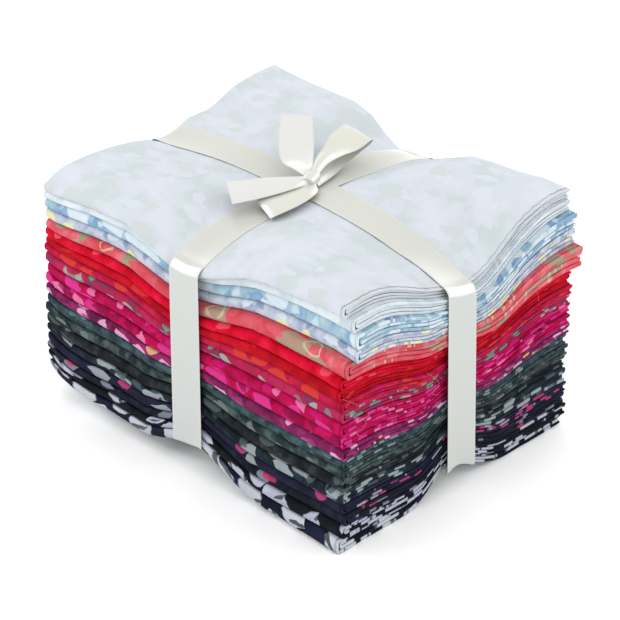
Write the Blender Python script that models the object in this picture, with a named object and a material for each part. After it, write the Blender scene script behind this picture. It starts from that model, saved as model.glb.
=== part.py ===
"""A bundle of twenty folded fat quarters, tied both ways with a satin ribbon and a bow.

Each fat quarter is one cut length of cotton. It is folded in half twice across its depth, and its folded
section is swept along its length: the bottom outer layer runs to the smooth fold at the front, the top outer
layer runs back from there, turns down at the back and comes forward as the upper inner layer, which turns
round a small roll inside the front fold and ends at the back as the lower inner layer.

The ribbon draws the stack in along a cross, over and under it, so every layer follows the same two height
surfaces, one for the top of the stack and one for its bottom.

X runs along the front, Y runs away from the front, Z is up. Lengths in the tables are millimetres.
"""
import math
from collections import namedtuple

import bmesh
import bpy

MM = 0.001

# Size of the stack
STACK_LENGTH = 140.0
STACK_DEPTH = 112.0
PIECE_GAP = 0.3
LAYER_GAP = 0.15
LAYERS = 4
FOLD_BULGE = 2.0
ROLL_SETBACK = 1.2
OUTER_FOLD_STEPS = 6
SMALL_FOLD_STEPS = 4
CREASE_STEPS = 2

# Size of the ribbon
RIBBON_WIDTH = 13.5
RIBBON_THICKNESS = 1.0
RIBBON_CENTRE_X = -1.5
RIBBON_CENTRE_Y = 2.5
RIBBON_TURN = 2.0
TURN_STEPS = 3

# Stations that every layer shares, so that facing surfaces stay parallel. The outer ones lie past the cloth.
X_LINES = (-74.0, -30.0, -8.5, 5.5, 30.0, 74.0)
Y_LINES = (-60.0, -22.0, -4.5, 9.5, 28.0, 60.0)

# Height of the stack at its corners: the crown beside the corner, how far the corner itself droops,
# and how far the bottom curls up there
Corner = namedtuple("Corner", "side_x side_y crown droop curl")
CORNERS = (
    Corner(+1, -1, 100.5, 0.5, 0.0),
    Corner(-1, -1, 88.0, 0.5, 8.0),
    Corner(+1, +1, 97.3, 0.5, 0.0),
    Corner(-1, +1, 87.0, 0.5, 2.0),
)
EDGE_DROOP = 2.5
EDGE_POWER = 8

# How far the ribbon draws the stack in: along the strand that runs front to back, and the one left to right
Waist = namedtuple("Waist", "near_end middle far_end reach")
TOP_FRONT_TO_BACK = Waist(10.8, 5.5, 12.0, 32.0)
TOP_LEFT_TO_RIGHT = Waist(4.5, 5.5, 14.0, 40.0)
BOTTOM_FRONT_TO_BACK = Waist(8.7, 3.0, 8.7, 30.0)
BOTTOM_LEFT_TO_RIGHT = Waist(5.0, 3.0, 8.0, 25.0)

# One row a fabric, from the top of the stack down: its main colour, then how much of the stack's height lies
# under it at the near, left and right corner in percent, then how far past the common outline it reaches at
# the front, back and left, and at the near and far end of its right side
Fabric = namedtuple("Fabric", "colour near_share left_share right_share "
                              "front back left near_right far_right")
FABRICS = (
    Fabric("DFE6EE", 95.1, 96.0, 96.2, 0.0, 0.4, -0.6, 0.0, -2.4),
    Fabric("DCE8EC", 88.9, 91.7, 91.8, -1.2, -0.5, 0.3, 1.7, -1.0),
    Fabric("9CC0D0", 82.5, 86.3, 86.0, -1.8, 0.2, 0.0, 2.0, 0.6),
    Fabric("C5CBDC", 77.5, 81.3, 79.3, -1.8, -0.8, 0.5, 1.8, 0.8),
    Fabric("D9606E", 71.0, 76.7, 70.5, -0.8, 0.5, -0.4, 0.3, 2.3),
    Fabric("E00433", 66.8, 72.0, 65.5, 0.2, 0.0, 0.2, 0.0, 0.4),
    Fabric("CC0420", 62.2, 67.9, 61.2, 0.5, -0.6, -0.2, -0.4, 0.0),
    Fabric("C01A44", 58.0, 63.4, 57.0, 0.3, 0.3, 0.6, 0.5, 0.6),
    Fabric("B02858", 53.3, 57.5, 53.0, 0.0, -0.2, 0.0, 0.0, -0.3),
    Fabric("BE0450", 48.0, 51.8, 49.0, 0.4, 0.6, -0.5, 0.4, -0.4),
    Fabric("C00450", 43.0, 46.0, 44.7, 0.2, -0.4, 0.4, 0.0, 0.5),
    Fabric("7E2458", 38.6, 40.5, 40.5, 0.5, 0.1, 0.1, 0.6, 0.2),
    Fabric("3E5058", 34.7, 35.0, 35.5, -0.1, -0.7, -0.3, 0.6, -0.8),
    Fabric("3C4A4C", 30.6, 29.4, 30.5, -0.4, 0.4, 0.5, 0.8, -0.6),
    Fabric("22282E", 25.8, 23.2, 25.5, 0.1, 0.0, -0.1, 0.3, -1.6),
    Fabric("1E2A34", 20.8, 18.7, 19.0, 0.4, -0.3, 0.3, 0.2, -0.9),
    Fabric("24243C", 16.8, 13.0, 14.6, 0.1, 0.5, -0.4, 0.6, -1.0),
    Fabric("1C2030", 12.0, 8.6, 10.0, -0.6, -0.1, 0.2, 1.2, -1.0),
    Fabric("181820", 6.4, 4.5, 5.0, 0.0, 0.2, 0.0, 0.2, -0.6),
    Fabric("1C2036", 0.0, 0.0, 0.0, 0.4, -0.2, -0.8, -0.8, -2.2),
)

# Bow strands: where each points, how far it reaches, and its height over the crossing at the knot, halfway
# and at its end. A loop also has the height of its inner gap at the end.
Tail = namedtuple("Tail", "bearing length knot_height mid_height end_height")
TAILS = (
    Tail(140.0, 30.0, 4.0, 6.6, 9.0),
    Tail(250.0, 30.0, 4.2, 5.6, 4.8),
)
Loop = namedtuple("Loop", "bearing length lower_height opening")
LOOPS = (
    Loop(102.0, 31.0, 1.4, 4.4),
    Loop(273.0, 25.0, 1.4, 1.6),
)
KNOT_LENGTH = 8.0
KNOT_WIDTH = 6.5
KNOT_HEIGHT = 5.5
KNOT_ROUNDING = 1.4
KNOT_SINK = 0.4
KNOT_TURN = 20.0
GATHERED_WIDTH = 6.0
GATHERED_SHARE = 0.6
STRAND_STEPS = 5
LOOP_END_STEPS = 6
STRANDS_APART = 0.8

COTTON_ROUGHNESS = 0.9
SATIN_COLOUR = "EDE9DA"
SATIN_ROUGHNESS = 0.35
SHARP_ANGLE = 35.0


def linear_colour(hex_code):
    """Turn a six-digit sRGB code into linear red, green, blue and alpha."""
    channels = [int(hex_code[i:i + 2], 16) / 255.0 for i in (0, 2, 4)]
    linear = [c / 12.92 if c <= 0.04045 else ((c + 0.055) / 1.055) ** 2.4 for c in channels]
    return (*linear, 1.0)


def make_material(name, hex_code, roughness):
    """A plain Principled material in one colour."""
    material = bpy.data.materials.new(name)
    material.use_nodes = True
    shader = material.node_tree.nodes["Principled BSDF"]
    shader.inputs["Base Color"].default_value = linear_colour(hex_code)
    shader.inputs["Roughness"].default_value = roughness
    shader.inputs["Metallic"].default_value = 0.0
    return material


def bump(distance, reach):
    """A smooth hill that is 1 at distance 0 and 0 from the reach onwards."""
    if abs(distance) >= reach:
        return 0.0
    return 0.5 * (1.0 + math.cos(math.pi * distance / reach))


def between_corners(x, y, values):
    """Blend four values, one for each row of the corner table, across the stack."""
    u = x / (STACK_LENGTH / 2)
    v = y / (STACK_DEPTH / 2)
    return sum(value * (1 + c.side_x * u) * (1 + c.side_y * v) / 4 for value, c in zip(values, CORNERS))


def waist_depth(waist, along):
    """Depth of a waist at a place along its strand, from -1 at the near end to 1 at the far end."""
    end = waist.near_end if along < 0 else waist.far_end
    return waist.middle + (end - waist.middle) * along * along


def drawn_in(x, y, front_to_back, left_to_right):
    """How far both strands together draw the stack in at a place."""
    u = x / (STACK_LENGTH / 2)
    v = y / (STACK_DEPTH / 2)
    across_x = bump(x - RIBBON_CENTRE_X, front_to_back.reach)
    across_y = bump(y - RIBBON_CENTRE_Y, left_to_right.reach)
    crossing = front_to_back.middle * across_x * across_y
    return waist_depth(front_to_back, v) * across_x + waist_depth(left_to_right, u) * across_y - crossing


def top_surface(x, y):
    """Height of the top of the stack."""
    u = min(1.0, abs(x) / (STACK_LENGTH / 2))
    v = min(1.0, abs(y) / (STACK_DEPTH / 2))
    edge = EDGE_DROOP * max(u, v) ** EDGE_POWER
    corner = between_corners(x, y, [c.droop for c in CORNERS]) * (u * v) ** EDGE_POWER
    drawn = drawn_in(x, y, TOP_FRONT_TO_BACK, TOP_LEFT_TO_RIGHT)
    return between_corners(x, y, [c.crown for c in CORNERS]) - edge - corner - drawn


def bottom_surface(x, y):
    """Height of the bottom of the stack: four flat pads between the raised strands."""
    u = min(1.0, abs(x) / (STACK_LENGTH / 2))
    v = min(1.0, abs(y) / (STACK_DEPTH / 2))
    curl = between_corners(x, y, [c.curl for c in CORNERS]) * (u * v) ** EDGE_POWER
    return max(0.0, curl) + drawn_in(x, y, BOTTOM_FRONT_TO_BACK, BOTTOM_LEFT_TO_RIGHT)


def cell(lines, value):
    """Index of the cell that holds a value, and how far along the cell it lies."""
    index = 0
    while index < len(lines) - 2 and value > lines[index + 1]:
        index += 1
    return index, (value - lines[index]) / (lines[index + 1] - lines[index])


def on_grid(surface, x, y):
    """Read a surface from the shared stations, so that every layer has the same flat cells."""
    i, s = cell(X_LINES, x)
    j, t = cell(Y_LINES, y)
    low = surface(X_LINES[i], Y_LINES[j]) * (1 - s) + surface(X_LINES[i + 1], Y_LINES[j]) * s
    high = surface(X_LINES[i], Y_LINES[j + 1]) * (1 - s) + surface(X_LINES[i + 1], Y_LINES[j + 1]) * s
    return low * (1 - t) + high * t


def share_under(number, x, y):
    """Share of the stack's height under a fabric, counted from 0 at the top of the stack."""
    if number < 0:
        return 1.0
    fabric = FABRICS[number]
    back_left = (fabric.left_share + fabric.right_share) / 2
    return between_corners(x, y, (fabric.near_share, fabric.left_share, fabric.right_share, back_left)) / 100


def layer_levels(x, y, number):
    """Heights of the lower and upper face of each layer of a fabric, from its bottom layer up."""
    base = on_grid(bottom_surface, x, y)
    height = on_grid(top_surface, x, y) - base + PIECE_GAP
    lowest = base + height * share_under(number, x, y)
    highest = base + height * share_under(number - 1, x, y) - PIECE_GAP
    pitch = (highest - lowest + LAYER_GAP) / LAYERS
    return [(lowest + n * pitch, lowest + (n + 1) * pitch - LAYER_GAP) for n in range(LAYERS)]


def arc(centre_y, centre_z, radius_y, radius_z, start, end, steps):
    """Points strictly inside an elliptical arc between two angles in degrees."""
    points = []
    for n in range(1, steps):
        angle = math.radians(start + (end - start) * n / steps)
        points.append((centre_y + radius_y * math.cos(angle), centre_z + radius_z * math.sin(angle)))
    return points


def folded_section(x_at, fabric, number):
    """Outline of one fabric's folded section as (y, z) points. The function x_at gives its x for each y."""
    front = -(STACK_DEPTH / 2 + fabric.front) + FOLD_BULGE
    roll = front + ROLL_SETBACK
    back = STACK_DEPTH / 2 + fabric.back - FOLD_BULGE / 2
    inner = [y for y in Y_LINES if front < y < back]

    def run(layer, face, ys):
        return [(y, layer_levels(x_at(y), y, number)[layer][face]) for y in ys]

    low, lower_inner, upper_inner, high = range(LAYERS)
    under, over = 0, 1
    at_front = layer_levels(x_at(front), front, number)
    at_roll = layer_levels(x_at(roll), roll, number)
    at_back = layer_levels(x_at(back), back, number)

    def turn(levels, y, lower, upper, reach, angles, steps):
        bottom = levels[lower[0]][lower[1]]
        top = levels[upper[0]][upper[1]]
        return arc(y, (bottom + top) / 2, reach, (top - bottom) / 2, *angles, steps)

    thickness = at_front[low][over] - at_front[low][under]
    fold_reach = FOLD_BULGE - thickness
    roll_reach = (at_roll[upper_inner][over] - at_roll[lower_inner][under]) / 2
    crease = LAYER_GAP / 2
    back_reach = (at_back[high][over] - at_back[upper_inner][under]) / 2

    outline = run(low, under, [back, *reversed(inner), front])
    outline += turn(at_front, front, (low, under), (high, over), FOLD_BULGE, (270, 90), OUTER_FOLD_STEPS)
    outline += run(high, over, [front, *inner, back])
    outline += turn(at_back, back, (upper_inner, under), (high, over), back_reach, (90, -90),
                    SMALL_FOLD_STEPS)
    outline += run(upper_inner, under, [back, *reversed(inner), roll])
    outline += turn(at_roll, roll, (lower_inner, over), (upper_inner, under), crease, (90, 270),
                    CREASE_STEPS)
    outline += run(lower_inner, over, [roll, *inner, back])
    outline += run(lower_inner, under, [back, *reversed(inner), roll])
    outline += turn(at_roll, roll, (lower_inner, under), (upper_inner, over), roll_reach, (270, 90),
                    SMALL_FOLD_STEPS)
    outline += run(upper_inner, over, [roll, *inner, back])
    outline += turn(at_back, back, (upper_inner, over), (high, under), crease, (-90, 90), CREASE_STEPS)
    outline += run(high, under, [back, *reversed(inner), front])
    outline += turn(at_front, front, (low, over), (high, under), fold_reach, (90, 270), SMALL_FOLD_STEPS)
    outline += run(low, over, [front, *inner, back])
    return outline


def split_quad(mesh, a, b, c, d):
    """Add a quad as two triangles whose shared edge cuts off the nearest corner of the stack."""
    middle = (a.co + b.co + c.co + d.co) / 4
    rises = (c.co.y - a.co.y) * (c.co.x - a.co.x) > 0
    if rises == (middle.x * middle.y > 0):
        mesh.faces.new((a, b, d))
        mesh.faces.new((b, c, d))
    else:
        mesh.faces.new((a, b, c))
        mesh.faces.new((a, c, d))


def finish_object(mesh, name, material):
    """Turn a bmesh into a smooth-shaded object in the scene."""
    bmesh.ops.recalc_face_normals(mesh, faces=mesh.faces)
    data = bpy.data.meshes.new(name)
    mesh.to_mesh(data)
    mesh.free()
    data.shade_smooth()
    data.set_sharp_from_angle(angle=math.radians(SHARP_ANGLE))
    data.materials.append(material)
    thing = bpy.data.objects.new(name, data)
    bpy.context.scene.collection.objects.link(thing)
    return thing


def right_end(fabric, y):
    """Where a fabric ends on the right at a place along that end."""
    share = (y + STACK_DEPTH / 2) / STACK_DEPTH
    return STACK_LENGTH / 2 + fabric.near_right + (fabric.far_right - fabric.near_right) * share


def make_fabric(fabric, number, name):
    """Sweep one fabric's folded section from its left end to its right end."""
    left = -(STACK_LENGTH / 2 + fabric.left)
    stations = [(lambda y, x=x: x) for x in (left, *X_LINES[1:-1])]
    stations.append(lambda y: right_end(fabric, y))
    mesh = bmesh.new()
    rings = []
    for x_at in stations:
        rings.append([mesh.verts.new((x_at(y) * MM, y * MM, z * MM))
                      for y, z in folded_section(x_at, fabric, number)])
    count = len(rings[0])
    for near, far in zip(rings, rings[1:]):
        for n in range(count):
            m = (n + 1) % count
            split_quad(mesh, near[n], near[m], far[m], far[n])
    mesh.faces.new(rings[0])
    mesh.faces.new(reversed(rings[-1]))
    return finish_object(mesh, name, make_material(name + "_cotton", fabric.colour, COTTON_ROUGHNESS))


def band_route(lines, face_near, face_far, placed):
    """Closed route of a ribbon strand's inner face round the stack, as (along, z) points, with its tilts."""
    def resting(surface, a, gap):
        left, right = (on_grid(surface, *placed(a, side)) for side in (-RIBBON_WIDTH / 2, RIBBON_WIDTH / 2))
        return a, (left + right) / 2 + gap, (right - left) / RIBBON_WIDTH

    def turn(a, z, tilt, shift, start):
        for step in range(TURN_STEPS + 1):
            angle = math.radians(start - 90 * step / TURN_STEPS)
            route.append((a + RIBBON_TURN * math.cos(angle), z + shift + RIBBON_TURN * math.sin(angle)))
            tilts.append(tilt)

    near = face_near + RIBBON_TURN
    far = face_far - RIBBON_TURN
    inner = [a for a in lines if near < a < far]
    route = []
    tilts = []
    for a, z, tilt in (resting(top_surface, a, PIECE_GAP) for a in inner):
        route.append((a, z))
        tilts.append(tilt)
    turn(*resting(top_surface, far, PIECE_GAP), -RIBBON_TURN, 90)
    turn(*resting(bottom_surface, far, -PIECE_GAP), RIBBON_TURN, 0)
    for a, z, tilt in (resting(bottom_surface, a, -PIECE_GAP) for a in reversed(inner)):
        route.append((a, z))
        tilts.append(tilt)
    turn(*resting(bottom_surface, near, -PIECE_GAP), RIBBON_TURN, -90)
    turn(*resting(top_surface, near, PIECE_GAP), -RIBBON_TURN, 180)
    return route, tilts


def outward_offsets(route, distance, closed=True):
    """Shift a route of (along, z) points to its left-hand side by a distance."""
    shifted = []
    count = len(route)
    for n, (a, z) in enumerate(route):
        before = route[n - 1] if closed or n > 0 else route[0]
        after = route[(n + 1) % count] if closed or n < count - 1 else route[-1]
        da = after[0] - before[0]
        dz = after[1] - before[1]
        length = math.hypot(da, dz)
        shifted.append((a - dz / length * distance, z + da / length * distance))
    return shifted


def strip_mesh(inner, outer, widths, tilts, place, closed):
    """A flat strip between an inner and an outer route, placed by a function of (along, side, z)."""
    mesh = bmesh.new()
    rings = []
    for (a, z), (b, w), width, tilt in zip(inner, outer, widths, tilts):
        half = width / 2
        lean = tilt * half
        corners = ((a, -half, z - lean), (a, half, z + lean), (b, half, w + lean), (b, -half, w - lean))
        rings.append([mesh.verts.new([c * MM for c in place(*corner)]) for corner in corners])
    pairs = list(zip(rings, rings[1:] + rings[:1])) if closed else list(zip(rings, rings[1:]))
    for near, far in pairs:
        for n in range(4):
            m = (n + 1) % 4
            mesh.faces.new((near[n], near[m], far[m], far[n]))
    if not closed:
        mesh.faces.new(rings[0])
        mesh.faces.new(reversed(rings[-1]))
    bmesh.ops.triangulate(mesh, faces=mesh.faces)
    return mesh


def make_bands(material):
    """The two strands round the stack, crossing in the middle of its top and bottom."""
    def band(lines, half_size, placed):
        route, tilts = band_route(lines, -half_size, half_size, placed)
        outer = outward_offsets(route, RIBBON_THICKNESS)
        widths = [RIBBON_WIDTH] * len(route)
        return strip_mesh(route, outer, widths, tilts, lambda a, side, z: (*placed(a, side), z), True)

    strand_edges = (RIBBON_CENTRE_Y - RIBBON_WIDTH / 2, RIBBON_CENTRE_Y + RIBBON_WIDTH / 2)
    face_x = max(right_end(f, y) for f in FABRICS for y in strand_edges)
    reach_y = max(max(f.front, f.back) for f in FABRICS)
    left_to_right = band(X_LINES, face_x + PIECE_GAP,
                         lambda a, side: (a, RIBBON_CENTRE_Y + side))
    front_to_back = band(Y_LINES, STACK_DEPTH / 2 + reach_y + PIECE_GAP,
                         lambda a, side: (RIBBON_CENTRE_X + side, a))
    return (finish_object(left_to_right, "ribbon", material),
            finish_object(front_to_back, "ribbon_short_strand", material))


def strand_place(bearing, base):
    """Placement of a bow strand that leaves the knot along a bearing."""
    angle = math.radians(bearing)
    ahead = (math.cos(angle), math.sin(angle))

    def place(a, side, z):
        return (RIBBON_CENTRE_X + a * ahead[0] - side * ahead[1],
                RIBBON_CENTRE_Y + a * ahead[1] + side * ahead[0], base + z)
    return place


def spread_width(share):
    """Width of a strand at a share of its length from the knot, gathered there and flat further out."""
    return GATHERED_WIDTH + (RIBBON_WIDTH - GATHERED_WIDTH) * min(1.0, share / GATHERED_SHARE)


def make_tail(tail, base, material, name):
    """One free end of the bow, from the knot to its cut edge."""
    route = []
    widths = []
    for step in range(STRAND_STEPS + 1):
        s = step / STRAND_STEPS
        height = (tail.knot_height * (1 - s) * (1 - 2 * s) + tail.mid_height * 4 * s * (1 - s)
                  + tail.end_height * s * (2 * s - 1))
        route.append((tail.length * s, height))
        widths.append(spread_width(s))
    mesh = strip_mesh(route, outward_offsets(route, RIBBON_THICKNESS, closed=False), widths,
                      [0.0] * len(route), strand_place(tail.bearing, base), False)
    return finish_object(mesh, name, material)


def make_loop(loop, base, material, name):
    """One loop of the bow: out along the top of the stack, round a soft end and back over itself."""
    radius = loop.opening / 2
    straight = loop.length - radius - RIBBON_THICKNESS
    route = []
    for step in range(STRAND_STEPS):
        s = step / STRAND_STEPS
        rise = KNOT_HEIGHT / 2 - loop.lower_height
        route.append((straight * s, loop.lower_height + rise * (1 - s) ** 2))
    for step in range(LOOP_END_STEPS + 1):
        angle = math.radians(-90 + 180 * step / LOOP_END_STEPS)
        height = loop.lower_height + radius + radius * math.sin(angle)
        route.append((straight + radius * math.cos(angle), height))
    for step in range(STRAND_STEPS - 1, -1, -1):
        s = step / STRAND_STEPS
        upper = loop.lower_height + loop.opening
        rise = KNOT_HEIGHT / 2 + STRANDS_APART - upper
        route.append((straight * s, upper + rise * (1 - s) ** 2))
    widths = [spread_width(a / loop.length) for a, z in route]
    mesh = strip_mesh(route, outward_offsets(route, -RIBBON_THICKNESS, closed=False), widths,
                      [0.0] * len(route), strand_place(loop.bearing, base), False)
    return finish_object(mesh, name, material)


def make_knot(base, material):
    """The ribbon's turn round the middle of the bow."""
    mesh = bmesh.new()
    bmesh.ops.create_cube(mesh, size=1.0)
    for vert in mesh.verts:
        vert.co.x *= KNOT_WIDTH * MM
        vert.co.y *= KNOT_LENGTH * MM
        vert.co.z *= KNOT_HEIGHT * MM
    bmesh.ops.bevel(mesh, geom=mesh.edges[:], offset=KNOT_ROUNDING * MM, segments=2, profile=0.5,
                    affect="EDGES")
    knot = finish_object(mesh, "ribbon_knot", material)
    knot.location = (RIBBON_CENTRE_X * MM, RIBBON_CENTRE_Y * MM, (base + KNOT_HEIGHT / 2 - KNOT_SINK) * MM)
    knot.rotation_euler.z = math.radians(KNOT_TURN)
    return knot


def join_to(target, part):
    """Weld a part to the target with a Boolean, and hide it as a guide."""
    union = target.modifiers.new("join_" + part.name, "BOOLEAN")
    union.operation = "UNION"
    union.solver = "EXACT"
    union.object = part
    part.hide_render = True
    part.display_type = "WIRE"


def make_ribbon():
    """The whole ribbon as one solid: both strands, the knot, two loops and two free ends."""
    material = make_material("ribbon_satin", SATIN_COLOUR, SATIN_ROUGHNESS)
    ribbon, short_strand = make_bands(material)
    base = on_grid(top_surface, RIBBON_CENTRE_X, RIBBON_CENTRE_Y) + PIECE_GAP + RIBBON_THICKNESS
    join_to(ribbon, short_strand)
    join_to(ribbon, make_knot(base, material))
    for number, loop in enumerate(LOOPS, 1):
        join_to(ribbon, make_loop(loop, base, material, f"ribbon_loop_{number}"))
    for number, tail in enumerate(TAILS, 1):
        join_to(ribbon, make_tail(tail, base, material, f"ribbon_tail_{number}"))
    return ribbon


def main():
    for thing in list(bpy.data.objects):
        bpy.data.objects.remove(thing, do_unlink=True)
    for number, fabric in enumerate(FABRICS):
        make_fabric(fabric, number, f"fabric_{number + 1:02d}")
    make_ribbon()


main()
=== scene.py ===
"""Looks for a bundle of twenty folded fat quarters tied both ways with a satin ribbon.

Each fabric is one thin sheet of cotton, folded in four along X and in four along Y, so its printed motifs run
on round every fold. The stack is shaped between two height surfaces, drawn in along the ribbon. The ribbon is
two flat strands right round the stack, a small knot, two loops and two free ends.

X runs along the front, Y runs away from the front, Z is up. Lengths in the tables are millimetres.
"""
import math
from collections import namedtuple

import bpy
import numpy as np
from mathutils import Matrix, Vector

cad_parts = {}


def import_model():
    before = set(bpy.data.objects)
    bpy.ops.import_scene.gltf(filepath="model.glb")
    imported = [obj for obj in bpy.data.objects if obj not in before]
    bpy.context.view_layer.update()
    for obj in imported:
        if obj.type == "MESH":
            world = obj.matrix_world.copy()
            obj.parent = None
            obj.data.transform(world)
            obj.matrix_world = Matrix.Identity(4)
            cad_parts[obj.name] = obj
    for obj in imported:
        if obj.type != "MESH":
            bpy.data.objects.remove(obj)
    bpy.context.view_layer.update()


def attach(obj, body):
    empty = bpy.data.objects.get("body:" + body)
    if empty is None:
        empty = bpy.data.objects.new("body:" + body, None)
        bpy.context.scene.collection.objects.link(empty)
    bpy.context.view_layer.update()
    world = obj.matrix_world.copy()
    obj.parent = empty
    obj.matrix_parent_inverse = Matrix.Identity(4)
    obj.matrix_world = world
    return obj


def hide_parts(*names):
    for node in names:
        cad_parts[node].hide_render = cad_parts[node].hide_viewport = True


MM = 0.001
UV_NAME = "cloth"
CLOTH_SHIFT = (0.31, 0.17)

# Camera: where it looks from, in degrees and millimetres, and how large a millimetre is at the aim point
AZIMUTH = 44.08
ELEVATION = 32.27
ROLL = 0.46
DISTANCE = 1873.0
PIXELS_PER_MM = 2.928
PICTURE_SIDE = 620
SENSOR_WIDTH = 36.0
AIM_HEIGHT = 45.0
AIM_RIGHT = 0.93
AIM_UP = -3.79

# Size of the stack and of one unfolded fat quarter, then the folded section of one fabric: the offsets of
# four plies in a layer, the heights of its four layers, and how far its folds and cut edges reach
STACK_LENGTH = 140.0
STACK_DEPTH = 112.0
NOMINAL_PITCH = 4.6
PLY_THICKNESS = 0.2
PLY_OFFSETS = (0.375, 0.125, -0.125, -0.375)
LAYER_CENTRES = (0.60, 1.733, 2.867, 4.0)
FOLD_REACH = 0.9
SMALL_FOLD_REACH = 0.6
ROLL_SETBACK = 1.3
FRONT_FOLD_POWER = 2.6
OUTER_CUT_REACH = 0.4
INNER_CUT_INSET = 0.3
TURN_REACH = 0.3
TURN_ANGLES = (45.0, 0.0, -45.0)
END_FOLD_REACH = 0.35
END_FOLD_HEIGHT = 0.54
END_FOLD_ANGLES = (80.0, 55.0, 25.0, 0.0, -25.0, -55.0, -80.0)

# Height of the stack beside each corner, how far the corner droops, and how far its bottom curls and lifts
Corner = namedtuple("Corner", "side_x side_y crown droop curl lift")
CORNERS = (
    Corner(+1, -1, 100.5, 0.5, 0.0, 0.0),
    Corner(-1, -1, 88.0, 0.5, 6.0, 7.0),
    Corner(+1, +1, 97.3, 0.5, 0.0, 0.0),
    Corner(-1, +1, 87.0, 0.5, 2.0, 2.0),
)
EDGE_DROOP = 2.5
LEFT_EDGE_DROOP = 0.4
EDGE_POWER = 8

# How far the ribbon draws the stack in along its two strands, and how far to either side that reaches
Waist = namedtuple("Waist", "near_end middle far_end reach_before reach_after")
TOP_FRONT_TO_BACK = Waist(10.8, 5.5, 12.0, 33.0, 36.0)
TOP_LEFT_TO_RIGHT = Waist(4.5, 5.5, 14.0, 44.0, 50.0)
BOTTOM_FRONT_TO_BACK = Waist(8.7, 3.0, 8.7, 30.0, 30.0)
BOTTOM_LEFT_TO_RIGHT = Waist(5.0, 3.0, 8.0, 25.0, 25.0)

# Local dents: at a place, how deep (a ridge is negative), and how far they reach along X and along Y
Dent = namedtuple("Dent", "x y depth reach_x reach_y")
TOP_DENTS = (
    Dent(70, 10, 3.6, 40, 22),
    Dent(-72, 2, 1.5, 4.5, 24),
    Dent(-72, -58, 3.2, 26, 11),
    Dent(-70, 1, 2.2, 34, 14),
    Dent(-70, 24, 2.4, 34, 13),
    Dent(-13, 58, 2.4, 11, 26),
    Dent(38, 58, 2.2, 20, 26),
    Dent(-34, -30, -0.7, 26, 9),
    Dent(-48, -12, 0.6, 20, 8),
    Dent(-30, 30, -0.6, 10, 24),
    Dent(34, -34, -0.7, 12, 26),
    Dent(48, -20, 0.6, 9, 24),
    Dent(30, 34, -0.8, 24, 9),
    Dent(46, 18, 0.5, 22, 8),
    Dent(-52, 40, 0.6, 16, 10),
)
BOTTOM_DENTS = (
    Dent(70, -3, 3.4, 40, 14),
    Dent(-37, -58, 1.4, 17, 26),
    Dent(6, -58, 1.2, 7, 26),
)

# One row a fabric from the top down: the share of the height under it at the near, left and right corner in
# percent, then how far it reaches past the outline at the front, back, left, near right and far right
Place = namedtuple("Place", "near left right front back reach_left reach_near reach_far")
PLACES = (
    Place(95.1, 96.0, 96.2, 0.0, 0.4, 0.8, 0.0, -2.4),
    Place(88.9, 91.7, 91.8, -2.4, -0.5, 1.0, 2.4, -1.0),
    Place(82.5, 86.3, 86.0, -3.4, 0.2, 0.7, 3.4, 1.6),
    Place(77.5, 81.3, 79.3, -3.2, -0.8, 0.5, 3.4, 1.8),
    Place(71.0, 76.7, 70.5, -1.0, 0.5, -0.4, 1.2, 4.4),
    Place(66.8, 72.0, 65.5, 0.2, 0.0, 0.2, 0.0, 0.4),
    Place(62.2, 67.9, 61.2, 0.5, -0.6, -0.2, -0.4, 0.0),
    Place(58.0, 63.4, 57.0, 0.3, 0.3, 0.6, 0.5, 0.6),
    Place(53.3, 57.5, 53.0, 0.0, -0.2, 0.0, 0.0, -0.3),
    Place(48.0, 51.8, 49.0, 0.4, 0.6, -0.5, 0.4, -0.4),
    Place(43.0, 46.0, 44.7, 0.2, -0.4, 0.4, 0.0, 0.5),
    Place(38.6, 40.5, 40.5, 0.5, 0.1, 0.1, 0.6, 0.2),
    Place(34.7, 35.0, 35.5, -0.1, -0.7, -0.3, 0.6, -0.8),
    Place(30.6, 29.4, 30.5, -0.4, 0.4, 0.5, 0.8, -0.6),
    Place(25.8, 23.2, 25.5, 0.1, 0.0, -0.1, 0.3, -1.6),
    Place(20.8, 18.7, 19.0, 0.4, -0.3, 0.3, 0.2, -0.9),
    Place(16.8, 13.0, 14.6, 0.1, 0.5, -0.4, 0.6, -1.0),
    Place(12.0, 8.6, 10.0, -0.6, -0.1, 0.2, 1.2, -1.0),
    Place(6.4, 4.5, 5.0, 0.0, 0.2, 0.0, 0.2, -0.6),
    Place(0.0, 0.0, 0.0, 0.4, -0.2, -0.8, -0.8, -2.2),
)

# Where the middle of each strand runs on top of the stack, and under it, as (along, across)
TOP_FRONT_TO_BACK_LINE = (
    (-60, -1.5), (-50, -2.2), (-32, -3.6), (-15, -3.2), (3, -2.0), (30, -1.2), (60, -1.2),
)
TOP_LEFT_TO_RIGHT_LINE = (
    (-76, 2.2), (-50, 3.0), (-30, 3.8), (0, 3.0), (20, 1.2), (45, -0.4), (76, -1.0),
)
BOTTOM_FRONT_TO_BACK_LINE = ((-60, 2.0), (0, 0.0), (60, -1.2))
BOTTOM_LEFT_TO_RIGHT_LINE = ((-76, 2.2), (0, 2.0), (76, 1.0))

# Stations along a ply, as shares of its length, closer together beside the ribbon; steps along the section
PLY_STATIONS = (0.0, 0.03, 0.08, 0.14, 0.21, 0.28, 0.34, 0.39, 0.436, 0.484, 0.532, 0.58, 0.63, 0.69, 0.76,
                0.84, 0.93, 1.0)
LAYER_STEPS = 26
FOLD_STEPS = 8
SMALL_FOLD_STEPS = 4

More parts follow.
